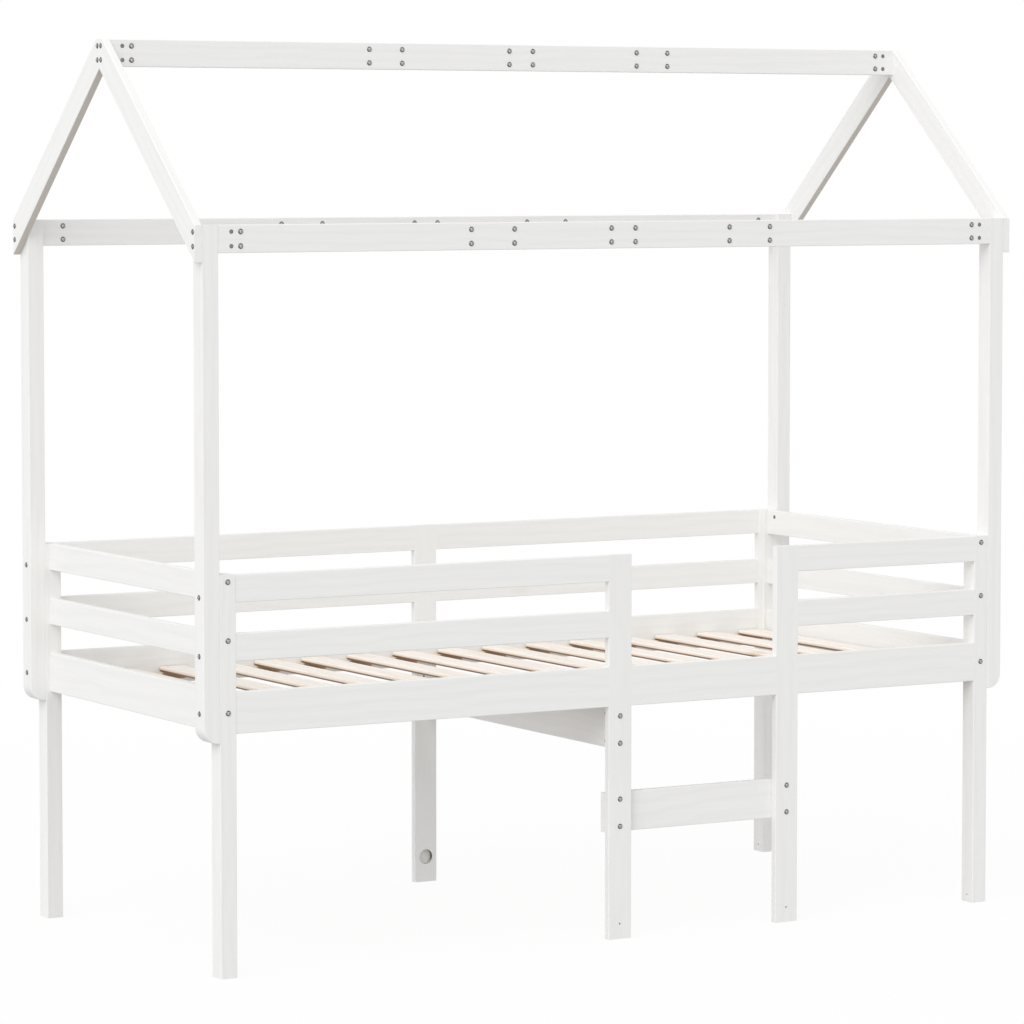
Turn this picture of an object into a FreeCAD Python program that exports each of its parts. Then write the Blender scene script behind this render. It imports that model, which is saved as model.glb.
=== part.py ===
"""Children's loft bed with a house-shaped roof frame, as an assembly of timbers and bolts.

Millimetres. X runs along the bed, with the ladder's left post near X = 0, Y across it, with the
ladder side at -Y, and Z up from the floor. The origin is on the floor under the middle of the bed.
"""
import math
import os

import FreeCAD
import Part
from FreeCAD import Vector

# Mattress that the frame is made for, and its play
mattress_length = 2000
mattress_width = 900
mattress_end_play = 4
mattress_side_play = 19

# Timber sections
leg_width = 40  # along the bed, legs and roof posts
leg_depth = 45  # across the bed, legs and roof posts
board_thickness = 18
board_height = 62  # guards, beams, rafters, ladder posts and middle leg
rail_height = 93  # rails, cross beam and step
edge_ease = 1.2  # bevel that takes the sharpness off the painted timbers' long edges

# Heights above the floor, and steps between the boards
rail_underside = 546
guard_gap = 68.5
guard_rows = 2
step_underside = 250
cross_beam_drop = 8  # from the rails' underside down to the cross beam's top
roof_post_drop = 20  # from the rails' underside down to the roof posts' feet
roof_post_foot_radius = 34
eave_top = 1672
ridge_top = 2088

# Ladder and middle leg
post_offset = 7  # the left ladder post is this far left of the middle, the middle leg as far right
ladder_opening = 403

# Slatted deck
ledger_size = 18
ledger_rise = 11  # from the rails' underside up to the ledgers' underside
slat_count = 16
slat_width = 62
slat_thickness = 12
slat_radius = 4.5  # upper edges
slat_bevel = 3  # lower edges
slat_end_clearance = 3  # between a slat's end and the rail
slat_left_gap = 14  # from the left legs to the first slat
slat_right_gap = 1  # from the last slat to the right legs

# Staggered joints of the two-layer beams, measured from the middle of the bed
eave_joint = 348
eave_joint_bolts = 56.5  # from the joint to the bolt columns on both sides of it
ridge_joint = 369
ridge_joint_bolts = 44
middle_joint_bolts = 32.5
beam_end_bolts = 55  # from a beam's end to its last column of bolts

# Bolt heads, nuts and their rows
bolt_head_diameter = 13
bolt_head_height = 3
bolt_head_sides = 12  # a round head, kept to few faces
socket_sides = 6
socket_across_flats = 4
socket_depth = 1.6
sleeve_nut_sides = 10  # the sleeve nuts' heads are as wide and high as the bolts'
barrel_nut_diameter = 10
barrel_nut_height = 0.3  # of its end above the wood
barrel_nut_sides = 8
barrel_nut_setback = 32  # from a board's end to the nut that its bolt screws into
board_bolt_pitch = 32  # between the two rows on a guard-height board
rail_bolt_pitch = 64  # between the two rows on a rail-height board
leg_bolt_rise = 15  # leg bolts, above the middle of the end guards
roof_post_bolt_drop = 18.5  # roof post bolts, below the middle of the end guards
back_rail_bolt_rise = 18.5  # back leg bolts, above the middle of the end rails

# Drilled holes
leg_hole_diameter = 5
leg_hole_depth = 12
leg_hole_height = 17.5
ladder_hole_diameter = 5
ladder_hole_depth = 10
ladder_hole_height = 35.5
middle_hole_diameter = 37
middle_hole_depth = 12
middle_hole_height = 63

cut_overrun = 5  # how far a cutting tool starts outside the wood
parallel_share = 0.999  # of an edge's length that has to lie along an axis for the edge to count as parallel

# Planes worked out from the sizes above
inner_x = mattress_length / 2 + mattress_end_play  # inner faces of the legs
outer_x = inner_x + leg_width  # outer faces of the legs
roof_post_x = outer_x + leg_width  # outer faces of the roof posts
rafter_x = roof_post_x + board_thickness  # outer faces of the rafters
inner_y = mattress_width / 2 + mattress_side_play  # inner faces of the long boards
outer_y = inner_y + board_thickness  # outer faces of the long boards
leg_inner_y = outer_y - leg_depth
eave_inner_y = inner_y - board_thickness  # inner faces of the eave beams' inner layers

rail_top = rail_underside + rail_height
rail_middle = rail_underside + rail_height / 2
rail_span = (rail_underside, rail_top)
guard_spans = []
for row in range(guard_rows):
    guard_underside = rail_top + guard_gap + row * (board_height + guard_gap)
    guard_spans.append((guard_underside, guard_underside + board_height))
guard_top = guard_spans[-1][1]
board_spans = [rail_span] + guard_spans
board_names = ["rail"] + ["guard_%d" % (row + 1) for row in range(guard_rows)]

left_post_span = (-post_offset - board_height / 2, -post_offset + board_height / 2)
right_post_left = left_post_span[1] + ladder_opening
right_post_span = (right_post_left, right_post_left + board_height)
middle_leg_span = (post_offset - board_height / 2, post_offset + board_height / 2)

cross_beam_top = rail_underside - cross_beam_drop
cross_beam_span = (cross_beam_top - rail_height, cross_beam_top)
step_span = (step_underside, step_underside + rail_height)
ledger_underside = rail_underside + ledger_rise
deck_underside = ledger_underside + ledger_size

eave_span = (eave_top - board_height, eave_top)
ridge_span = (ridge_top - board_height, ridge_top)

axis_x = Vector(1, 0, 0)
axis_y = Vector(0, 1, 0)
axis_z = Vector(0, 0, 1)
ends = (("left", -1), ("right", 1))
sides = (("front", -1), ("back", 1))
nodes = {}


def block(x_span, y_span, z_span):
    low = Vector(min(x_span), min(y_span), min(z_span))
    high = Vector(max(x_span), max(y_span), max(z_span))
    size = high - low
    return Part.makeBox(size.x, size.y, size.z, low)


def edges_along(solid, axis):
    """The straight edges that run along the axis."""
    found = []
    for edge in solid.Edges:
        run = edge.Vertexes[-1].Point - edge.Vertexes[0].Point
        if abs(run.dot(axis)) >= edge.Length * parallel_share:
            found.append(edge)
    return found


def long_edges(solid, grain, *open_sides):
    """The edges along the grain that lie on every open side named."""
    middle = solid.CenterOfMass
    return [edge for edge in edges_along(solid, grain)
            if all((edge.CenterOfMass - middle).dot(side) > 0 for side in open_sides)]


def lowest_edges(solid, grain):
    """The edges along the grain in the solid's underside."""
    return [edge for edge in edges_along(solid, grain) if edge.BoundBox.ZMax <= solid.BoundBox.ZMin]


def timber(x_span, y_span, z_span, grain, *open_sides):
    """A straight painted timber with eased long edges, or eased only on its open sides."""
    solid = block(x_span, y_span, z_span)
    return solid.makeChamfer(edge_ease, long_edges(solid, grain, *open_sides))


def drill(solid, mouth, inward, diameter, depth):
    """A blind hole from its mouth on the surface."""
    start = mouth - inward * cut_overrun
    return solid.cut(Part.makeCylinder(diameter / 2, depth + cut_overrun, start, inward))


def prism(sides_count, corner_radius, base, height):
    """A regular prism that stands on its base height along Z."""
    turns = [2 * math.pi * index / sides_count for index in range(sides_count + 1)]
    points = [Vector(corner_radius * math.cos(turn), corner_radius * math.sin(turn), base) for turn in turns]
    return Part.Face(Part.makePolygon(points)).extrude(axis_z * height)


def socket_head():
    """A bolt head on the XY plane, with its hexagon socket open upwards."""
    head = prism(bolt_head_sides, bolt_head_diameter / 2, 0, bolt_head_height)
    corner = socket_across_flats / 2 / math.cos(math.pi / socket_sides)
    return head.cut(prism(socket_sides, corner, bolt_head_height - socket_depth, socket_depth + cut_overrun))


def stand_on(pattern, seat, outward):
    return pattern.transformed(FreeCAD.Placement(seat, FreeCAD.Rotation(axis_z, outward)).toMatrix())


def bolt_head(seat, outward):
    return stand_on(head_pattern, seat, outward)


def sleeve_nut(seat, outward):
    return stand_on(sleeve_pattern, seat, outward)


def barrel_nut(seat, outward):
    return stand_on(barrel_pattern, seat, outward)


def middle_of(span):
    return (span[0] + span[1]) / 2


def rows_about(height, pitch):
    return (height - pitch / 2, height + pitch / 2)


head_pattern = socket_head()
sleeve_pattern = prism(sleeve_nut_sides, bolt_head_diameter / 2, 0, bolt_head_height)
barrel_pattern = prism(barrel_nut_sides, barrel_nut_diameter / 2, 0, barrel_nut_height)


# Legs, from the floor to the top guard's upper edge, each with a small hole at its foot
for side_name, side in sides:
    for end_name, end in ends:
        x_span = (end * inner_x, end * outer_x)
        leg = timber(x_span, (side * leg_inner_y, side * outer_y), (0, guard_top), axis_z)
        mouth = Vector(end * inner_x, side * (leg_inner_y + outer_y) / 2, leg_hole_height)
        nodes["leg_%s_%s" % (side_name, end_name)] = drill(
            leg, mouth, axis_x * end, leg_hole_diameter, leg_hole_depth)


# Ladder posts and middle leg: eased edges, left square where a board butts against them
def flat_post(x_span, side, left_seats, right_seats):
    y_span = (side * inner_y, side * outer_y)
    post = timber(x_span, y_span, (0, guard_top), axis_z)
    middle = middle_of(x_span)
    for seat in left_seats:
        post = post.fuse(block((x_span[0], middle), y_span, seat))
    for seat in right_seats:
        post = post.fuse(block((middle, x_span[1]), y_span, seat))
    return post.removeSplitter()


def ladder_foot_hole(post, x_span):
    mouth = Vector(middle_of(x_span), -outer_y, ladder_hole_height)
    return drill(post, mouth, axis_y, ladder_hole_diameter, ladder_hole_depth)


left_post = flat_post(left_post_span, -1, board_spans, [rail_span])
nodes["ladder_post_left"] = ladder_foot_hole(left_post, left_post_span)

# The right ladder post and the rail behind it are halved into each other
halving_y = -(inner_y + outer_y) / 2
right_post = flat_post(right_post_span, -1, [rail_span], board_spans)
right_post = right_post.cut(block(right_post_span, (halving_y, -inner_y + cut_overrun), rail_span))
nodes["ladder_post_right"] = ladder_foot_hole(right_post, right_post_span)

middle_leg = flat_post(middle_leg_span, 1, board_spans, board_spans)
middle_mouth = Vector(middle_of(middle_leg_span), inner_y, middle_hole_height)
nodes["middle_leg_back"] = drill(middle_leg, middle_mouth, axis_y, middle_hole_diameter, middle_hole_depth)

# Long rails and guards, butted between the legs and the flat posts
board_ends = {
    ("front", "left"): (-inner_x, left_post_span[0]),
    ("front", "right"): (right_post_span[1], inner_x),
    ("back", "left"): (-inner_x, middle_leg_span[0]),
    ("back", "right"): (middle_leg_span[1], inner_x),
}
front_right_rail_ends = (left_post_span[1], inner_x)
for side_name, side in sides:
    for end_name, end in ends:
        for board_name, z_span in zip(board_names, board_spans):
            x_span = board_ends[side_name, end_name]
            halved = (side_name, end_name, board_name) == ("front", "right", "rail")
            if halved:
                x_span = front_right_rail_ends
            board = timber(x_span, (side * inner_y, side * outer_y), z_span, axis_x)
            if halved:
                board = board.cut(block(right_post_span, (halving_y, -outer_y - cut_overrun), z_span))
            nodes["%s_%s_%s" % (board_name, side_name, end_name)] = board

# End rails and guards, on the middle of the legs' width
end_board_x = (inner_x + outer_x) / 2
for end_name, end in ends:
    x_span = (end * end_board_x - board_thickness / 2, end * end_board_x + board_thickness / 2)
    for board_name, z_span in zip(board_names, board_spans):
        board = timber(x_span, (-leg_inner_y, leg_inner_y), z_span, axis_y)
        nodes["%s_end_%s" % (board_name, end_name)] = board

# Cross beam under the deck, and the ladder's step behind its posts
cross_beam_x = (-post_offset - board_thickness / 2, -post_offset + board_thickness / 2)
nodes["cross_beam"] = timber(cross_beam_x, (-inner_y, inner_y), cross_beam_span, axis_y)
step_x = (left_post_span[0], right_post_span[1])
nodes["step_board"] = timber(step_x, (-inner_y, -inner_y + board_thickness), step_span, axis_x)

# Ledgers on the rails' inner faces, joined behind the flat posts
ledger_z = (ledger_underside, deck_underside)
for (side_name, side), joint in zip(sides, (-post_offset, post_offset)):
    y_span = (side * (inner_y - ledger_size), side * inner_y)
    nodes["ledger_%s_left" % side_name] = block((-inner_x, joint), y_span, ledger_z)
    nodes["ledger_%s_right" % side_name] = block((joint, inner_x), y_span, ledger_z)

# Slats, evenly pitched along the ledgers
first_slat = -inner_x + slat_left_gap
last_slat = inner_x - slat_right_gap - slat_width
slat_pitch = (last_slat - first_slat) / (slat_count - 1)
slat_y = (slat_end_clearance - inner_y, inner_y - slat_end_clearance)
slat_z = (deck_underside, deck_underside + slat_thickness)
slats = []
for index in range(slat_count):
    slat_x = first_slat + index * slat_pitch
    slat = block((slat_x, slat_x + slat_width), slat_y, slat_z)
    slat = slat.makeFillet(slat_radius, long_edges(slat, axis_y, axis_z))
    slats.append(slat.makeChamfer(slat_bevel, lowest_edges(slat, axis_y)))
nodes["slats_left"] = Part.makeCompound(slats[:slat_count // 2])
nodes["slats_right"] = Part.makeCompound(slats[slat_count // 2:])

# Roof posts on the legs' outer faces, with the foot's outer corner well rounded
for side_name, side in sides:
    for end_name, end in ends:
        x_span = (end * outer_x, end * roof_post_x)
        y_span = (side * leg_inner_y, side * outer_y)
        post = block(x_span, y_span, (rail_underside - roof_post_drop, eave_top))
        foot_corner = long_edges(post, axis_y, axis_x * end, -axis_z)
        post = post.makeFillet(roof_post_foot_radius, foot_corner)
        post = post.makeChamfer(edge_ease, edges_along(post, axis_z))
        nodes["roof_post_%s_%s" % (side_name, end_name)] = post


# Beams of two layers: one layer in two halves, the other in three pieces with staggered joints
def beam(name, half_length, halves_y, thirds_y, z_span, joint):
    away = axis_y if middle_of(halves_y) > middle_of(thirds_y) else -axis_y
    for end_name, end in ends:
        half = timber((0, end * half_length), halves_y, z_span, axis_x, away)
        nodes["%s_half_%s" % (name, end_name)] = half
        third = timber((end * joint, end * half_length), thirds_y, z_span, axis_x, -away)
        nodes["%s_third_%s" % (name, end_name)] = third
    nodes["%s_third_middle" % name] = timber((-joint, joint), thirds_y, z_span, axis_x, -away)


beam("eave_front", outer_x, (-outer_y, -inner_y), (-inner_y, -eave_inner_y), eave_span, eave_joint)
beam("eave_back", outer_x, (inner_y, outer_y), (eave_inner_y, inner_y), eave_span, eave_joint)
beam("ridge", roof_post_x, (-board_thickness, 0), (0, board_thickness), ridge_span, ridge_joint)

# Rafters: plumb feet flush with the eaves, mitred at the ridge under a flat top as wide as the ridge beam
roof_slope = (ridge_top - eave_top) / (outer_y - board_thickness)
rafter_plumb_height = board_height * math.hypot(1, roof_slope)
rafter_outline = [
    (outer_y, eave_top - rafter_plumb_height),
    (outer_y, eave_top),
    (board_thickness, ridge_top),
    (0, ridge_top),
    (0, eave_top + outer_y * roof_slope - rafter_plumb_height),
]
slope_axis = Vector(0, 1, -roof_slope).normalize()
for end_name, end in ends:
    for side_name, side in sides:
        points = [Vector(end * roof_post_x, side * y, z) for y, z in rafter_outline]
        face = Part.Face(Part.makePolygon(points + points[:1]))
        rafter = face.extrude(axis_x * end * board_thickness)
        grain = Vector(0, side * slope_axis.y, slope_axis.z)
        rafter = rafter.makeChamfer(edge_ease, edges_along(rafter, grain))
        nodes["rafter_%s_%s" % (end_name, side_name)] = rafter

# Leg bolts, through the legs' outer faces into the end boards' end grain, with barrel nuts in the boards
leg_bolts = []
end_board_face = end_board_x - board_thickness / 2
end_nut_y = leg_inner_y - barrel_nut_setback
for end_name, end in ends:
    for side_name, side in sides:
        rail_bolt = rail_middle if side < 0 else rail_middle + back_rail_bolt_rise
        for z in [rail_bolt] + [middle_of(span) + leg_bolt_rise for span in guard_spans]:
            leg_bolts.append(bolt_head(Vector(end * end_board_x, side * outer_y, z), axis_y * side))
            leg_bolts.append(barrel_nut(Vector(end * end_board_face, side * end_nut_y, z), axis_x * -end))
nodes["leg_bolts"] = Part.makeCompound(leg_bolts)

# Roof post bolts, through the roof posts' outer faces into the legs
roof_post_bolts = []
for end_name, end in ends:
    for side_name, side in sides:
        for z in [rail_middle] + [middle_of(span) - roof_post_bolt_drop for span in guard_spans]:
            seat = Vector(end * roof_post_x, side * (leg_inner_y + outer_y) / 2, z)
            roof_post_bolts.append(bolt_head(seat, axis_x * end))
nodes["roof_post_bolts"] = Part.makeCompound(roof_post_bolts)

# Roof bolts: through the rafters into the beams' ends, with barrel nuts in the beams' outer faces,
# and through both layers of each beam, with sleeve nuts on the other side
roof_bolts = []
eave_nut_x = outer_x - barrel_nut_setback
ridge_nut_x = roof_post_x - barrel_nut_setback
eave_rows = rows_about(middle_of(eave_span), board_bolt_pitch)
ridge_rows = rows_about(middle_of(ridge_span), board_bolt_pitch)
for end_name, end in ends:
    for side_name, side in sides:
        for z in eave_rows:
            seat = Vector(end * rafter_x, side * (inner_y + outer_y) / 2, z)
            roof_bolts.append(bolt_head(seat, axis_x * end))
            roof_bolts.append(barrel_nut(Vector(end * eave_nut_x, side * outer_y, z), axis_y * side))
        for z in ridge_rows:
            seat = Vector(end * rafter_x, side * board_thickness / 2, z)
            roof_bolts.append(bolt_head(seat, axis_x * end))
            nut_seat = Vector(end * ridge_nut_x, side * board_thickness, z)
            roof_bolts.append(barrel_nut(nut_seat, axis_y * side))


def beam_bolts(half_length, y_span, rows, joint, joint_bolts):
    columns = [middle_joint_bolts, joint - joint_bolts, joint + joint_bolts, half_length - beam_end_bolts]
    fittings = []
    for column in columns:
        for end_name, end in ends:
            for z in rows:
                fittings.append(bolt_head(Vector(end * column, y_span[0], z), -axis_y))
                fittings.append(sleeve_nut(Vector(end * column, y_span[1], z), axis_y))
    return fittings


front_eave_y = (-outer_y, -eave_inner_y)
back_eave_y = (eave_inner_y, outer_y)
ridge_y = (-board_thickness, board_thickness)
roof_bolts += beam_bolts(outer_x, front_eave_y, eave_rows, eave_joint, eave_joint_bolts)
roof_bolts += beam_bolts(outer_x, back_eave_y, eave_rows, eave_joint, eave_joint_bolts)
roof_bolts += beam_bolts(roof_post_x, ridge_y, ridge_rows, ridge_joint, ridge_joint_bolts)
nodes["roof_bolts"] = Part.makeCompound(roof_bolts)

# Ladder bolts: through post and middle leg into the cross beam, with barrel nuts in the beam's left face,
# and through the ladder posts and the step, with sleeve nuts behind the step
ladder_bolts = []
cross_nut_y = inner_y - barrel_nut_setback
step_back_y = board_thickness - inner_y
cross_beam_rows = rows_about(middle_of(cross_beam_span), rail_bolt_pitch)
step_rows = rows_about(middle_of(step_span), rail_bolt_pitch)
for z in cross_beam_rows:
    for side_name, side in sides:
        ladder_bolts.append(bolt_head(Vector(-post_offset, side * outer_y, z), axis_y * side))
        ladder_bolts.append(barrel_nut(Vector(cross_beam_x[0], side * cross_nut_y, z), -axis_x))
for x_span in (left_post_span, right_post_span):
    for z in step_rows:
        ladder_bolts.append(bolt_head(Vector(middle_of(x_span), -outer_y, z), -axis_y))
        ladder_bolts.append(sleeve_nut(Vector(middle_of(x_span), step_back_y, z), axis_y))
nodes["ladder_bolts"] = Part.makeCompound(ladder_bolts)

os.makedirs("parts", exist_ok=True)
for name, shape in nodes.items():
    shape.exportStep(os.path.join("parts", name + ".step"))
print("%d nodes, %d solids" % (len(nodes), sum(len(shape.Solids) for shape in nodes.values())))
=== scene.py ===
import math
import bpy
from mathutils import Euler, Matrix, Vector


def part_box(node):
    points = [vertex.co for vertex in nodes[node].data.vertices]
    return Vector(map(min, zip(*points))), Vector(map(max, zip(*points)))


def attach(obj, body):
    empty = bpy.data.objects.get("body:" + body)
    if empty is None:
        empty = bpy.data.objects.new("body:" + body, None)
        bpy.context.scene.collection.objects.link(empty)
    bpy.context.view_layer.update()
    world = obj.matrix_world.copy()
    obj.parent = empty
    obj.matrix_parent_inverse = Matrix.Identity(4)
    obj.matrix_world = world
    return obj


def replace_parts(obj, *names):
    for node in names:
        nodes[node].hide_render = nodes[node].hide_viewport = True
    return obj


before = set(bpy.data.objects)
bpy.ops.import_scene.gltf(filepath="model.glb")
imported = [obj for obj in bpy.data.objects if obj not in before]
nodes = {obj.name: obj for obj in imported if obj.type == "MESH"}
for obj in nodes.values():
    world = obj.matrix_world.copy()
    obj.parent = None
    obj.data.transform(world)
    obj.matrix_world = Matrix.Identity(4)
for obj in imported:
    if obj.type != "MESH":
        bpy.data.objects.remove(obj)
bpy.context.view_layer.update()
print("frame loaded:", len(nodes), "CAD nodes")


# small helpers for node trees
def addNode(tree, kind, **sockets):
    node = tree.nodes.new(kind)
    for name, value in sockets.items():
        node.inputs[name.replace("_", " ")].default_value = value
    return node


def link(tree, source, output, target, socket):
    tree.links.new(source.outputs[output], target.inputs[socket])


def newMaterial(name):
    material = bpy.data.materials.new(name)
    material.use_nodes = True
    tree = material.node_tree
    return material, tree, tree.nodes["Principled BSDF"]


def colorStops(tree, stops):
    ramp = tree.nodes.new("ShaderNodeValToRGB")
    while len(ramp.color_ramp.elements) < len(stops):
        ramp.color_ramp.elements.new(0.5)  # moved to its place below
    for element, (position, color) in zip(ramp.color_ramp.elements, stops):
        element.position = position
        element.color = (*color, 1)
    return ramp


mixFirst, mixSecond, mixResult = 6, 7, 2  # colour sockets of a mix node


def mixColors(tree, kind="MIX"):
    mix = tree.nodes.new("ShaderNodeMix")
    mix.data_type = "RGBA"
    mix.blend_type = kind
    return mix


# grain runs along the turned X axis
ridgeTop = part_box("ridge_half_left")[1]
eaveLow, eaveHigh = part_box("eave_front_half_left")
roofPitch = math.atan2(ridgeTop.z - eaveHigh.z, -eaveLow.y - (eaveHigh.y - eaveLow.y))
grainTurns = {
    "along": (0, 0, 0),
    "across": (0, 0, -math.pi / 2),
    "upright": (0, math.pi / 2, 0),
    "rafterFront": (-roofPitch, 0, -math.pi / 2),
    "rafterBack": (roofPitch, 0, -math.pi / 2),
}


def grainMaterial(name, look, turn):
    material, tree, shader = newMaterial(name)
    coords = tree.nodes.new("ShaderNodeTexCoord")
    turned = addNode(tree, "ShaderNodeMapping", Rotation=turn)
    link(tree, coords, "Object", turned, "Vector")

    wander = addNode(tree, "ShaderNodeTexNoise", Scale=3.0, Detail=2.0)  # slow drift of the growth rings
    link(tree, turned, "Vector", wander, "Vector")
    drift = tree.nodes.new("ShaderNodeVectorMath")
    drift.operation = "MULTIPLY_ADD"
    drift.inputs[1].default_value = (0, look["drift"], look["drift"])
    link(tree, wander, "Color", drift, 0)
    link(tree, turned, "Vector", drift, 2)

    ringSpace = addNode(tree, "ShaderNodeMapping", Scale=(look["ringStretch"], 1, 1))
    link(tree, drift, "Vector", ringSpace, "Vector")
    rings = addNode(tree, "ShaderNodeTexWave", Scale=look["ringScale"], Distortion=look["ringDistortion"],
                    Detail=2.0)
    rings.wave_type = "RINGS"
    rings.rings_direction = "X"
    link(tree, ringSpace, "Vector", rings, "Vector")

    fibreSpace = addNode(tree, "ShaderNodeMapping", Scale=look["fibreScale"])
    link(tree, turned, "Vector", fibreSpace, "Vector")
    fibres = addNode(tree, "ShaderNodeTexNoise", Scale=1.0, Detail=4.0, Roughness=0.65)
    link(tree, fibreSpace, "Vector", fibres, "Vector")

    knotSpace = addNode(tree, "ShaderNodeMapping", Scale=look["knotScale"])
    link(tree, turned, "Vector", knotSpace, "Vector")
    knots = addNode(tree, "ShaderNodeTexVoronoi", Scale=1.0)
    link(tree, knotSpace, "Vector", knots, "Vector")
    knotSize = addNode(tree, "ShaderNodeMapRange")  # few cells hold a knot, each of its own size
    knotSize.inputs["From Min"].default_value = look["knotRarity"]
    knotSize.inputs["To Max"].default_value = look["knotRadius"]
    split = tree.nodes.new("ShaderNodeSeparateColor")
    link(tree, knots, "Color", split, "Color")
    link(tree, split, "Red", knotSize, "Value")
    knotEdge = addNode(tree, "ShaderNodeMapRange")
    knotEdge.interpolation_type = "SMOOTHSTEP"
    knotEdge.inputs["From Min"].default_value = 0
    knotEdge.inputs["To Min"].default_value = 1
    knotEdge.inputs["To Max"].default_value = 0
    link(tree, knots, "Distance", knotEdge, "Value")
    link(tree, knotSize, "Result", knotEdge, "From Max")

    ringTone = colorStops(tree, look["ringTones"])
    link(tree, rings, "Color", ringTone, "Fac")
    fibreTone = colorStops(tree, look["fibreTones"])
    link(tree, fibres, "Fac", fibreTone, "Fac")
    withFibres = mixColors(tree, "MULTIPLY")
    withFibres.inputs["Factor"].default_value = look["fibreShare"]
    link(tree, ringTone, "Color", withFibres, mixFirst)
    link(tree, fibreTone, "Color", withFibres, mixSecond)
    withKnots = mixColors(tree)
    withKnots.inputs[mixSecond].default_value = (*look["knotTone"], 1)
    knotShare = tree.nodes.new("ShaderNodeMath")
    knotShare.operation = "MULTIPLY"
    knotShare.inputs[1].default_value = look["knotShare"]
    link(tree, knotEdge, "Result", knotShare, 0)
    link(tree, knotShare, "Value", withKnots, "Factor")
    link(tree, withFibres, mixResult, withKnots, mixFirst)
    finished = withKnots
    for level, blur, tone in look.get("paintedShades", []):  # painted shade: the colour is darkened across the timber from a level down, where less light falls
        height = tree.nodes.new("ShaderNodeSeparateXYZ")
        link(tree, turned, "Vector", height, "Vector")
        share = addNode(tree, "ShaderNodeMapRange")
        share.interpolation_type = "SMOOTHSTEP"
        share.inputs["From Min"].default_value = level - blur
        share.inputs["From Max"].default_value = level + blur
        share.inputs["To Min"].default_value = 1
        share.inputs["To Max"].default_value = 0
        link(tree, height, "Z", share, "Value")
        paintedShade = mixColors(tree, "MULTIPLY")
        paintedShade.inputs[mixSecond].default_value = (*tone, 1)
        link(tree, share, "Result", paintedShade, "Factor")
        link(tree, finished, mixResult, paintedShade, mixFirst)
        finished = paintedShade
    if "paintedSlatShadow" in look:  # painted shadow: darker wherever a slat lies on the strip and shades it
        paintedSlatShadow = look["paintedSlatShadow"]
        place = tree.nodes.new("ShaderNodeSeparateXYZ")
        link(tree, coords, "Object", place, "Vector")
        fromFirst = tree.nodes.new("ShaderNodeMath")
        fromFirst.operation = "SUBTRACT"
        fromFirst.inputs[1].default_value = paintedSlatShadow["first"]
        link(tree, place, "X", fromFirst, 0)
        fromSlat = tree.nodes.new("ShaderNodeMath")
        fromSlat.operation = "WRAP"
        fromSlat.inputs[1].default_value = paintedSlatShadow["pitch"] / 2
        fromSlat.inputs[2].default_value = -paintedSlatShadow["pitch"] / 2
        link(tree, fromFirst, "Value", fromSlat, 0)
        away = tree.nodes.new("ShaderNodeMath")
        away.operation = "ABSOLUTE"
        link(tree, fromSlat, "Value", away, 0)
        under = addNode(tree, "ShaderNodeMapRange")
        under.interpolation_type = "SMOOTHSTEP"
        under.inputs["From Min"].default_value = paintedSlatShadow["half"] - paintedSlatShadow["blur"]
        under.inputs["From Max"].default_value = paintedSlatShadow["half"] + paintedSlatShadow["blur"]
        under.inputs["To Min"].default_value = 1
        under.inputs["To Max"].default_value = 0
        link(tree, away, "Value", under, "Value")
        slatShadowMix = mixColors(tree, "MULTIPLY")
        slatShadowMix.inputs[mixSecond].default_value = (*paintedSlatShadow["tone"], 1)
        link(tree, under, "Result", slatShadowMix, "Factor")
        link(tree, finished, mixResult, slatShadowMix, mixFirst)
        finished = slatShadowMix
    if "recess" in look:  # painted shadow on the wall of a drilled recess, deepening to dark brown on the side the light does not reach
        recess = look["recess"]
        fromAxis = tree.nodes.new("ShaderNodeVectorMath")
        fromAxis.operation = "MULTIPLY_ADD"
        fromAxis.inputs[1].default_value = (1, 0, 1)
        fromAxis.inputs[2].default_value = (-recess["axis"][0], 0, -recess["axis"][1])
        link(tree, coords, "Object", fromAxis, 0)
        away = tree.nodes.new("ShaderNodeVectorMath")
        away.operation = "LENGTH"
        link(tree, fromAxis, "Vector", away, 0)
        place = tree.nodes.new("ShaderNodeSeparateXYZ")
        link(tree, coords, "Object", place, "Vector")
        onWall = tree.nodes.new("ShaderNodeMath")
        onWall.operation = "COMPARE"
        onWall.inputs[1].default_value = recess["radius"]
        onWall.inputs[2].default_value = recess["rim"]
        link(tree, away, "Value", onWall, 0)
        inside = tree.nodes.new("ShaderNodeMath")
        inside.operation = "COMPARE"
        inside.inputs[1].default_value = recess["mouth"] + recess["depth"] / 2
        inside.inputs[2].default_value = (recess["depth"] - recess["rim"]) / 2
        link(tree, place, "Y", inside, 0)
        shadowedWall = tree.nodes.new("ShaderNodeMath")
        shadowedWall.operation = "MULTIPLY"
        link(tree, onWall, "Value", shadowedWall, 0)
        link(tree, inside, "Value", shadowedWall, 1)
        across = tree.nodes.new("ShaderNodeVectorMath")
        across.operation = "DOT_PRODUCT"
        across.inputs[1].default_value = recess["shade"]
        link(tree, fromAxis, "Vector", across, 0)
        rise = addNode(tree, "ShaderNodeMapRange")
        rise.inputs["From Min"].default_value = -recess["radius"]
        rise.inputs["From Max"].default_value = recess["shadeEnd"] * recess["radius"]
        link(tree, across, "Value", rise, "Value")
        wallShadowTone = colorStops(tree, recess["tones"])
        link(tree, rise, "Result", wallShadowTone, "Fac")
        drilled = mixColors(tree, "MULTIPLY")
        link(tree, shadowedWall, "Value", drilled, "Factor")
        link(tree, finished, mixResult, drilled, mixFirst)
        link(tree, wallShadowTone, "Color", drilled, mixSecond)
        finished = drilled
    link(tree, finished, mixResult, shader, "Base Color")

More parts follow.
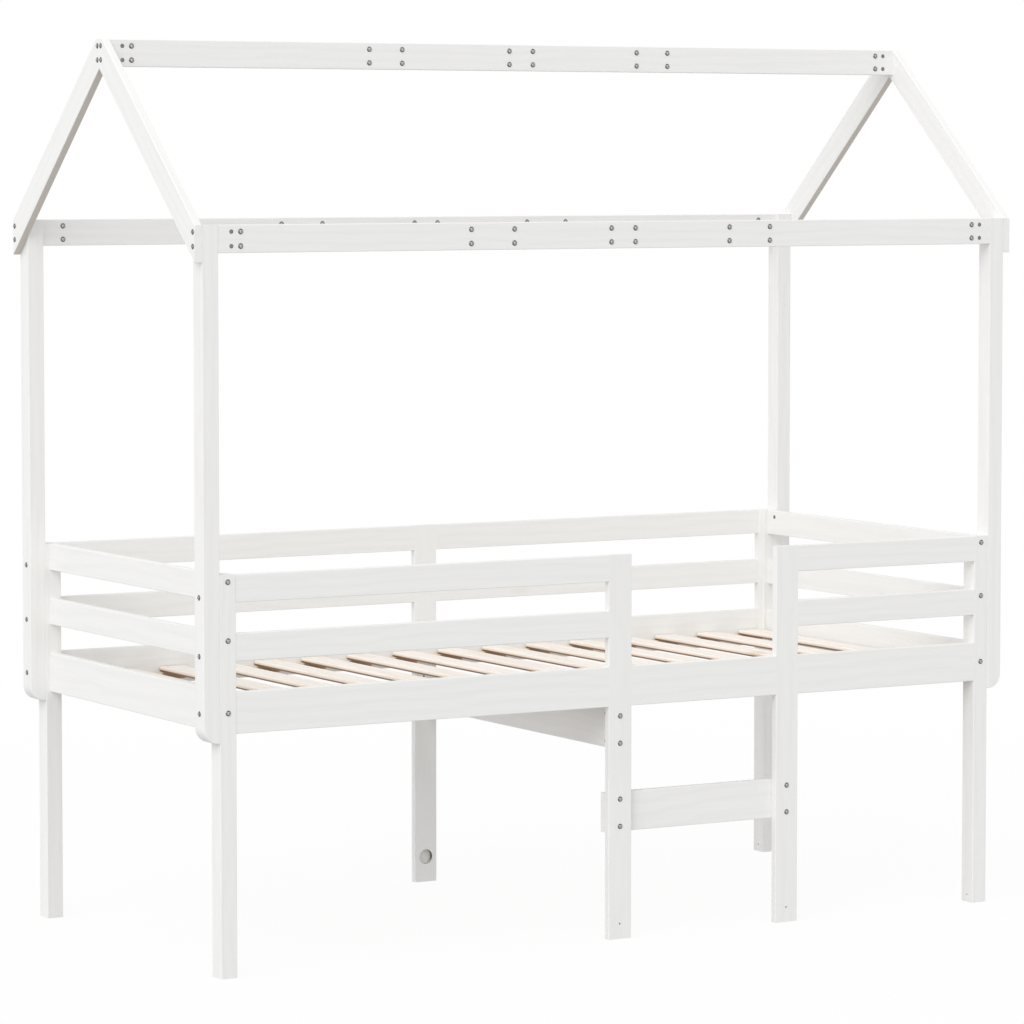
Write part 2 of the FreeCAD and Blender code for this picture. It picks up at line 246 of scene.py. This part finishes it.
    sheen = addNode(tree, "ShaderNodeMapRange")
    sheen.inputs["To Min"].default_value, sheen.inputs["To Max"].default_value = look["roughness"]
    link(tree, fibres, "Fac", sheen, "Value")
    link(tree, sheen, "Result", shader, "Roughness")
    bump = addNode(tree, "ShaderNodeBump", Strength=look["bumpStrength"], Distance=look["bumpDepth"])
    link(tree, fibres, "Fac", bump, "Height")
    link(tree, bump, "Normal", shader, "Normal")
    shader.inputs["Specular IOR Level"].default_value = look["gloss"]
    return material


whitePine = {
    "drift": 0.05, "ringStretch": 0.05, "ringScale": 14.0, "ringDistortion": 3.0,
    "ringTones": [(0.0, (0.872, 0.870, 0.859)), (0.6, (0.867, 0.865, 0.853)), (1.0, (0.855, 0.851, 0.837))],
    "fibreScale": (5, 160, 160), "fibreTones": [(0.3, (0.94, 0.94, 0.935)), (0.62, (1, 1, 1))],
    "fibreShare": 0.5,
    "knotScale": (3.2, 7, 7), "knotRarity": 0.72, "knotRadius": 0.2, "knotTone": (0.74, 0.70, 0.65),
    "knotShare": 0.35,
    "roughness": (0.4, 0.55), "bumpStrength": 0.12, "bumpDepth": 0.0006, "gloss": 0.4,
}
slatLow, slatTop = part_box("slats_left")[0].z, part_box("slats_left")[1].z
slatPine = {
    "drift": 0.06, "ringStretch": 0.04, "ringScale": 18.0, "ringDistortion": 3.5,
    "ringTones": [(0.0, (0.972, 0.92, 0.868)), (0.55, (0.964, 0.908, 0.853)), (1.0, (0.936, 0.87, 0.805))],
    "fibreScale": (6, 220, 220), "fibreTones": [(0.3, (0.9, 0.87, 0.83)), (0.65, (1, 1, 1))],
    "fibreShare": 0.6,
    "knotScale": (3, 8, 8), "knotRarity": 0.7, "knotRadius": 0.22, "knotTone": (0.52, 0.34, 0.2),
    "knotShare": 0.7,
    "roughness": (0.5, 0.65), "bumpStrength": 0.2, "bumpDepth": 0.0006, "gloss": 0.3,
    "paintedShades": [  # painted shade bands: level, blur and tone
        # painted shade: the sides below the top take a warmer, darker tone than the lit top
        (slatTop - 0.0035, 0.003, (0.975, 0.895, 0.805)),
        # painted shade: a dark band along each slat's lower edge
        (slatLow + 0.0045, 0.0012, (0.27, 0.18, 0.125)),
    ],
}
slatRow = {
    "count": 16, "width": 0.062,
    "start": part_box("slats_left")[0].x, "stop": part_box("slats_right")[1].x,
}
slatPitch = (slatRow["stop"] - slatRow["start"] - slatRow["width"]) / (slatRow["count"] - 1)
rawPine = dict(slatPine, paintedShades=[],
               ringTones=[(0.0, (0.86, 0.78, 0.69)), (0.55, (0.84, 0.75, 0.66)), (1.0, (0.79, 0.69, 0.59))],
               # painted shadow on the ledger under each slat
               paintedSlatShadow={"first": slatRow["start"] + slatRow["width"] / 2, "pitch": slatPitch,
                      "half": slatRow["width"] / 2, "blur": 0.004, "tone": (0.5, 0.36, 0.26)})
rafterTurn = Euler(grainTurns["rafterFront"]).to_matrix()
rafterLow = min((rafterTurn @ corner.co).z for corner in nodes["rafter_left_front"].data.vertices)
rafterPine = dict(whitePine, paintedShades=[(rafterLow + 0.0006, 0.0003, (0.71, 0.67, 0.625))])  # painted shade: darker undersides
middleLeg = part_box("middle_leg_back")
drilledPine = dict(whitePine, recess={
    "axis": ((middleLeg[0].x + middleLeg[1].x) / 2, 0.063), "radius": 0.0185,
    "mouth": middleLeg[0].y, "depth": 0.012, "rim": 0.001,
    "shade": (0.7, 0, 0.7), "shadeEnd": 0.6,  # painted shadow: towards the dark side, and where it is darkest
    "tones": [(0.0, (1, 1, 1)), (0.55, (0.75, 0.73, 0.7)), (1.0, (0.17, 0.15, 0.13))],
})
timberGrain = [
    ("leg_front", "upright"), ("leg_back", "upright"), ("ladder_post", "upright"), ("middle_leg", "upright"),
    ("roof_post", "upright"), ("rafter_left_front", "rafterFront"), ("rafter_right_front", "rafterFront"),
    ("rafter_left_back", "rafterBack"), ("rafter_right_back", "rafterBack"), ("cross_beam", "across"),
    ("rail_end", "across"), ("guard_1_end", "across"), ("guard_2_end", "across"), ("slats", "across"),
]
woods = {"whitePine": whitePine, "slatPine": slatPine, "rawPine": rawPine, "drilledPine": drilledPine,
         "rafterPine": rafterPine}
madeOf = [
    ("slats", "slatPine"), ("ledger", "rawPine"), ("middle_leg", "drilledPine"), ("rafter", "rafterPine"),
]
finishes = {}
for nodeName, node in nodes.items():
    if nodeName.endswith("_bolts"):
        continue
    grain = next((way for start, way in timberGrain if nodeName.startswith(start)), "along")
    wood = next((name for start, name in madeOf if nodeName.startswith(start)), "whitePine")
    finishName = wood + "_" + grain
    if finishName not in finishes:
        finishes[finishName] = grainMaterial(finishName, woods[wood], grainTurns[grain])
    node.data.materials.clear()
    node.data.materials.append(finishes[finishName])
print("timber finishes:", sorted(finishes))

# painted reflection: dark steel on the flank and light steel on the crown stand in for what the heads
# reflect
flankSteel = {
    "tones": [(0.3, (0.11, 0.11, 0.115)), (0.7, (0.17, 0.17, 0.175))], "roughness": (0.24, 0.36),
    "scale": 900.0, "bumpStrength": 0.1, "bumpDepth": 0.0001,
}
crownSteel = dict(flankSteel, tones=[(0.3, (0.44, 0.44, 0.45)), (0.7, (0.56, 0.56, 0.565))],
                  roughness=(0.2, 0.3))
nutSteel = dict(flankSteel, tones=[(0.3, (0.17, 0.17, 0.175)), (0.7, (0.25, 0.25, 0.255))],
                roughness=(0.3, 0.42))


def steelMaterial(name, look):
    material, tree, shader = newMaterial(name)
    coords = tree.nodes.new("ShaderNodeTexCoord")
    cloud = addNode(tree, "ShaderNodeTexNoise", Scale=look["scale"], Detail=3.0)
    link(tree, coords, "Object", cloud, "Vector")
    tone = colorStops(tree, look["tones"])
    link(tree, cloud, "Fac", tone, "Fac")
    link(tree, tone, "Color", shader, "Base Color")
    rough = addNode(tree, "ShaderNodeMapRange")
    rough.inputs["To Min"].default_value, rough.inputs["To Max"].default_value = look["roughness"]
    link(tree, cloud, "Fac", rough, "Value")
    link(tree, rough, "Result", shader, "Roughness")
    bump = addNode(tree, "ShaderNodeBump", Strength=look["bumpStrength"], Distance=look["bumpDepth"])
    link(tree, cloud, "Fac", bump, "Height")
    link(tree, bump, "Normal", shader, "Normal")
    shader.inputs["Metallic"].default_value = 1.0
    return material


boltSteels = [steelMaterial("flankSteel", flankSteel), steelMaterial("crownSteel", crownSteel)]
nutSteels = [steelMaterial("nutSteel", nutSteel)]


# bolts, sleeve nuts and barrel nuts: a cap bolt and a barrel nut are modelled once, the rest are copies
smoothAngle = math.radians(40)
spinStep = math.radians(37)  # no two sockets stand alike
topSlack = 0.0001  # an edge this close to the top belongs to it
upSlope, footSlope = 0.5, -0.9  # normals of faces that look up, and of the foot


def deselect():
    bpy.ops.object.select_all(action="DESELECT")


def selectEdges(piece, wanted):
    bpy.ops.object.mode_set(mode="EDIT")
    bpy.ops.mesh.select_mode(type="EDGE")
    bpy.ops.mesh.select_all(action="DESELECT")
    bpy.ops.object.mode_set(mode="OBJECT")
    points = piece.data.vertices
    for edge in piece.data.edges:
        edge.select = wanted(points[edge.vertices[0]].co, points[edge.vertices[1]].co)
    bpy.ops.object.mode_set(mode="EDIT")


def selectFaces(piece, wanted):
    bpy.ops.object.mode_set(mode="EDIT")
    bpy.ops.mesh.select_mode(type="FACE")
    bpy.ops.mesh.select_all(action="DESELECT")
    bpy.ops.object.mode_set(mode="OBJECT")
    for face in piece.data.polygons:
        face.select = wanted(face)
    bpy.ops.object.mode_set(mode="EDIT")


def cutWith(piece, cutter):
    cut = piece.modifiers.new("socket", "BOOLEAN")
    cut.operation = "DIFFERENCE"
    cut.object = cutter
    deselect()
    piece.select_set(True)
    bpy.context.view_layer.objects.active = piece
    bpy.ops.object.modifier_apply(modifier=cut.name)
    bpy.data.objects.remove(cutter)


def disc(name, radius, height, sunk, roundOver, segments, sides):
    deselect()
    bpy.ops.mesh.primitive_cylinder_add(vertices=sides, radius=radius, depth=height + sunk,
                                        location=(0, 0, (height - sunk) / 2))
    piece = bpy.context.object
    piece.name = name
    bpy.ops.object.transform_apply(location=True)
    selectEdges(piece, lambda a, b: min(a.z, b.z) > height - topSlack)
    bpy.ops.mesh.bevel(offset=roundOver, segments=segments, affect="EDGES")
    bpy.ops.object.mode_set(mode="OBJECT")
    return piece


def finishSteel(piece, steels, crownRadius=0.0):  # painted reflection: the crown takes a light steel and the flank and socket a dark one, in place of the light and dark the head reflects
    bpy.ops.object.shade_smooth_by_angle(angle=smoothAngle)
    for steel in steels:
        piece.data.materials.append(steel)
    low = min(corner.co.z for corner in piece.data.vertices)
    for face in piece.data.polygons:
        away = math.hypot(face.center.x, face.center.y)
        onCrown = away < crownRadius and face.normal.z > upSlope and face.center.z > low
        face.material_index = 1 if onCrown else 0


capBolt = {"radius": 0.0065, "height": 0.0032, "sunk": 0.0003, "segments": 16, "rings": 14,
           "socketSides": 6, "socketRadius": 0.0021, "socketDepth": 0.0017, "crownRadius": 0.0036}


def makeCapBolt(s):
    domeRadius = (s["radius"] ** 2 + s["height"] ** 2) / (2 * s["height"])
    deselect()
    bpy.ops.mesh.primitive_uv_sphere_add(segments=s["segments"], ring_count=s["rings"], radius=domeRadius,
                                         location=(0, 0, s["height"] - domeRadius))
    bolt = bpy.context.object
    bolt.name = "capBolt"
    bpy.ops.object.transform_apply(location=True)
    bpy.ops.object.mode_set(mode="EDIT")
    bpy.ops.mesh.select_all(action="SELECT")
    bpy.ops.mesh.bisect(plane_co=(0, 0, 0), plane_no=(0, 0, 1), use_fill=True, clear_inner=True)
    bpy.ops.object.mode_set(mode="OBJECT")
    selectFaces(bolt, lambda face: face.normal.z < footSlope)  # the foot goes a little into the wood
    bpy.ops.mesh.extrude_region_move(TRANSFORM_OT_translate={"value": (0, 0, -s["sunk"])})
    bpy.ops.object.mode_set(mode="OBJECT")
    bpy.ops.mesh.primitive_cylinder_add(vertices=s["socketSides"], radius=s["socketRadius"],
                                        depth=2 * s["socketDepth"], location=(0, 0, s["height"]))
    cutWith(bolt, bpy.context.object)
    finishSteel(bolt, boltSteels, s["crownRadius"])
    return bolt


barrelNut = {"radius": 0.005, "height": 0.0005, "sunk": 0.002, "roundOver": 0.0002,
             "segments": 2, "sides": 20, "slotLength": 0.015, "slotWidth": 0.0013, "slotDepth": 0.0004}


def makeBarrelNut(s):
    nut = disc("barrelNut", s["radius"], s["height"], s["sunk"], s["roundOver"], s["segments"], s["sides"])
    bpy.ops.mesh.primitive_cube_add(size=1, location=(0, 0, s["height"]))
    slot = bpy.context.object
    slot.scale = (s["slotLength"], s["slotWidth"], 2 * s["slotDepth"])
    bpy.ops.object.transform_apply(location=True, scale=True)
    cutWith(nut, slot)
    finishSteel(nut, nutSteels)
    return nut


def placeCopies(name, pattern, places):
    copies = []
    for number, (point, outward) in enumerate(places):
        copy = bpy.data.objects.new(name, pattern.data.copy())
        bpy.context.scene.collection.objects.link(copy)
        stand = Vector((0, 0, 1)).rotation_difference(outward).to_matrix().to_4x4()
        spin = Matrix.Rotation(spinStep * number, 4, "Z")
        copy.data.transform(Matrix.Translation(point) @ stand @ spin)
        copies.append(copy)
    deselect()
    for copy in copies:
        copy.select_set(True)
    bpy.context.view_layer.objects.active = copies[0]
    bpy.ops.object.join()
    piece = bpy.context.object
    piece.name = name
    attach(piece, "root")
    return piece


def middle(node):
    low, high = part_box(node)
    return (low + high) / 2


bolts = {
    "legRise": 0.015, "postDrop": 0.0185, "backRailRise": 0.0185,  # from the end boards' middles
    "boardRow": 0.016, "railRow": 0.032,  # half the pitch of two rows
    "middleJoint": 0.0325, "eaveJoint": 0.0565, "ridgeJoint": 0.044, "beamEnd": 0.055,
    "nutFromEnd": 0.032,  # barrel nut behind a board's end
}
cap = makeCapBolt(capBolt)
nut = makeBarrelNut(barrelNut)
outX, outY = Vector((1, 0, 0)), Vector((0, 1, 0))
ends = {"left": -1, "right": 1}
sides = {"front": -1, "back": 1}

legCaps, postCaps, roofCaps, ladderCaps = [], [], [], []
roofSleeves, ladderSleeves = [], []
legNuts, roofNuts, ladderNuts = [], [], []
for endName, end in ends.items():
    rail = middle("rail_end_" + endName)
    guards = [middle("guard_%d_end_%s" % (row, endName)) for row in (1, 2)]
    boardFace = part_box("rail_end_" + endName)[0 if end > 0 else 1].x  # face towards the mattress
    for sideName, side in sides.items():
        legLow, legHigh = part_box("leg_%s_%s" % (sideName, endName))
        legFace = legLow.y if side < 0 else legHigh.y
        legInner = legHigh.y if side < 0 else legLow.y
        nutPlace = legInner - side * bolts["nutFromEnd"]
        railRise = bolts["backRailRise"] if side > 0 else 0
        for height in [rail.z + railRise] + [guard.z + bolts["legRise"] for guard in guards]:
            legCaps.append((Vector(((legLow.x + legHigh.x) / 2, legFace, height)), outY * side))
            legNuts.append((Vector((boardFace, nutPlace, height)), outX * -end))
        postLow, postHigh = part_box("roof_post_%s_%s" % (sideName, endName))
        postFace = postLow.x if end < 0 else postHigh.x
        for height in [rail.z] + [guard.z - bolts["postDrop"] for guard in guards]:
            postCaps.append((Vector((postFace, (postLow.y + postHigh.y) / 2, height)), outX * end))
        rafterLow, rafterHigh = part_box("rafter_%s_%s" % (endName, sideName))
        rafterFace = rafterLow.x if end < 0 else rafterHigh.x
        eaveNode = "eave_%s_half_%s" % (sideName, endName)
        ridgeNode = "ridge_%s_%s" % ("half" if side < 0 else "third", endName)
        eave, ridge = middle(eaveNode), middle(ridgeNode)
        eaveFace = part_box(eaveNode)[0 if side < 0 else 1].y
        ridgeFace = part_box(ridgeNode)[0 if side < 0 else 1].y
        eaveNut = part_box(eaveNode)[0 if end < 0 else 1].x - end * bolts["nutFromEnd"]
        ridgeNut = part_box("ridge_half_" + endName)[0 if end < 0 else 1].x - end * bolts["nutFromEnd"]
        for row in (-bolts["boardRow"], bolts["boardRow"]):
            roofCaps.append((Vector((rafterFace, eave.y, eave.z + row)), outX * end))
            roofCaps.append((Vector((rafterFace, ridge.y, ridge.z + row)), outX * end))
            roofNuts.append((Vector((eaveNut, eaveFace, eave.z + row)), outY * side))
            roofNuts.append((Vector((ridgeNut, ridgeFace, ridge.z + row)), outY * side))

for beamName, jointGap in (("eave_front", "eaveJoint"), ("eave_back", "eaveJoint"), ("ridge", "ridgeJoint")):
    layers = [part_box(beamName + "_half_right"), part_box(beamName + "_third_right")]
    frontFace = min(low.y for low, high in layers)
    backFace = max(high.y for low, high in layers)
    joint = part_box(beamName + "_third_middle")[1].x
    columns = [bolts["middleJoint"], joint - bolts[jointGap], joint + bolts[jointGap],
               layers[0][1].x - bolts["beamEnd"]]
    for column in columns + [-x for x in columns]:
        for row in (-bolts["boardRow"], bolts["boardRow"]):
            height = middle(beamName + "_half_right").z + row
            roofCaps.append((Vector((column, frontFace, height)), -outY))
            roofSleeves.append((Vector((column, backFace, height)), outY))

crossBeam, step = middle("cross_beam"), middle("step_board")
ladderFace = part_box("ladder_post_left")[0].y
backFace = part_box("middle_leg_back")[1].y
crossLow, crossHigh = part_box("cross_beam")
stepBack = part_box("step_board")[1].y
for row in (-bolts["railRow"], bolts["railRow"]):
    ladderCaps.append((Vector((crossBeam.x, ladderFace, crossBeam.z + row)), -outY))
    ladderCaps.append((Vector((crossBeam.x, backFace, crossBeam.z + row)), outY))
    for beamEnd, inward in ((crossLow.y, 1), (crossHigh.y, -1)):
        nutPlace = beamEnd + inward * bolts["nutFromEnd"]
        ladderNuts.append((Vector((crossLow.x, nutPlace, crossBeam.z + row)), -outX))
    for post in ("ladder_post_left", "ladder_post_right"):
        ladderCaps.append((Vector((middle(post).x, ladderFace, step.z + row)), -outY))
        ladderSleeves.append((Vector((middle(post).x, stepBack, step.z + row)), outY))

fittings = {
    "leg_bolts": [("legCapBolts", cap, legCaps), ("legBarrelNuts", nut, legNuts)],
    "roof_post_bolts": [("postCapBolts", cap, postCaps)],
    "roof_bolts": [("roofCapBolts", cap, roofCaps), ("roofSleeveNuts", cap, roofSleeves),
                   ("roofBarrelNuts", nut, roofNuts)],
    "ladder_bolts": [("ladderCapBolts", cap, ladderCaps), ("ladderSleeveNuts", cap, ladderSleeves),
                     ("ladderBarrelNuts", nut, ladderNuts)],
}
for cadNode, pieces in fittings.items():
    for pieceName, pattern, places in pieces:
        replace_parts(placeCopies(pieceName, pattern, places), cadNode)
        print("fittings placed:", pieceName, len(places))
for pattern in (cap, nut):
    bpy.data.objects.remove(pattern)


# floor, light and camera
def seenDirectly(tree):  # camera, mirror and glass rays see the white backdrop
    path = tree.nodes.new("ShaderNodeLightPath")
    total = path.outputs["Is Camera Ray"]
    for ray in ("Is Glossy Ray", "Is Transmission Ray"):
        more = tree.nodes.new("ShaderNodeMath")
        more.operation = "MAXIMUM"
        tree.links.new(total, more.inputs[0])
        tree.links.new(path.outputs[ray], more.inputs[1])
        total = more.outputs["Value"]
    return total


floor = {
    "size": 60.0, "glow": 0.575, "color": (0.88, 0.88, 0.88, 1),
    "showsWhite": 0.93, "fadeFrom": 2.5, "fadeTo": 5.0,
}
deselect()
bpy.ops.mesh.primitive_plane_add(size=floor["size"], location=(0, 0, 0))
ground = bpy.context.object
ground.name = "studioFloor"
material, tree, shader = newMaterial("paleFloor")
tree.nodes.remove(shader)
card = addNode(tree, "ShaderNodeEmission", Strength=floor["glow"])  # what the floor sends up to the bed
white = addNode(tree, "ShaderNodeEmission", Strength=1.0)
shadowCatcher = addNode(tree, "ShaderNodeBsdfDiffuse", Color=floor["color"])
soft = tree.nodes.new("ShaderNodeMixShader")
floorCoords = tree.nodes.new("ShaderNodeTexCoord")
reach = tree.nodes.new("ShaderNodeVectorMath")
reach.operation = "LENGTH"
link(tree, floorCoords, "Object", reach, 0)
fade = addNode(tree, "ShaderNodeMapRange")  # the floor turns into the white backdrop well away from the bed
fade.interpolation_type = "SMOOTHSTEP"
for socket, value in (("From Min", "fadeFrom"), ("From Max", "fadeTo"), ("To Min", "showsWhite")):
    fade.inputs[socket].default_value = floor[value]
link(tree, reach, "Value", fade, "Value")
link(tree, fade, "Result", soft, "Fac")
link(tree, shadowCatcher, "BSDF", soft, 1)
link(tree, white, "Emission", soft, 2)
choose = tree.nodes.new("ShaderNodeMixShader")
tree.links.new(seenDirectly(tree), choose.inputs["Fac"])
link(tree, card, "Emission", choose, 1)
link(tree, soft, "Shader", choose, 2)
link(tree, choose, "Shader", tree.nodes["Material Output"], "Surface")
material.cycles.emission_sampling = "NONE"  # met often enough by chance, and free of speckle that way
ground.data.materials.append(material)

world = {"color": (1.0, 1.0, 1.0, 1), "strength": 0.735}
studio = bpy.data.worlds.new("softStudio")
bpy.context.scene.world = studio
studio.use_nodes = True
tree = studio.node_tree
glow = tree.nodes["Background"]
glow.inputs["Color"].default_value = world["color"]
glow.inputs["Strength"].default_value = world["strength"]
backdrop = addNode(tree, "ShaderNodeBackground", Strength=1.0)
backdrop.inputs["Color"].default_value = (1, 1, 1, 1)
choose = tree.nodes.new("ShaderNodeMixShader")
tree.links.new(seenDirectly(tree), choose.inputs["Fac"])
link(tree, glow, "Background", choose, 1)
link(tree, backdrop, "Background", choose, 2)
link(tree, choose, "Shader", tree.nodes["World Output"], "Surface")

softLamps = {  # strength is the light that a facing white card sends back
    "keyLamp": {"azimuth": -52, "elevation": 38, "spread": 36, "strength": 0.24},
    "leftLamp": {"azimuth": -75, "elevation": 20, "spread": 90, "strength": 0.275},
    "frontLamp": {"azimuth": -15, "elevation": 25, "spread": 90, "strength": 0.123},
}
lampPlace = (0, 0, 5)  # above the roof; a sun's place has no effect on its light
for lampName, lampLook in softLamps.items():
    bpy.ops.object.light_add(type="SUN", location=lampPlace)
    lamp = bpy.context.object
    lamp.name = lampName
    lamp.data.energy = math.pi * lampLook["strength"]
    lamp.data.angle = math.radians(lampLook["spread"])
    lamp.rotation_euler = (math.radians(90 - lampLook["elevation"]), 0, math.radians(lampLook["azimuth"]))

camera = {
    "place": (-5.4561, -9.3503, 1.8216), "yaw": 30.196, "pitch": 3.739,
    "lens": 158.17, "sensor": 36.0, "shiftY": -0.06, "farthest": 200.0,
}
bpy.ops.object.camera_add(location=camera["place"],
                          rotation=(math.radians(90 - camera["pitch"]), 0, math.radians(-camera["yaw"])))
eye = bpy.context.object
eye.data.lens = camera["lens"]
eye.data.sensor_width = camera["sensor"]
eye.data.shift_y = camera["shiftY"]
eye.data.clip_end = camera["farthest"]
bpy.context.scene.camera = eye
bpy.context.scene.view_settings.view_transform = "Standard"
print("stage set")
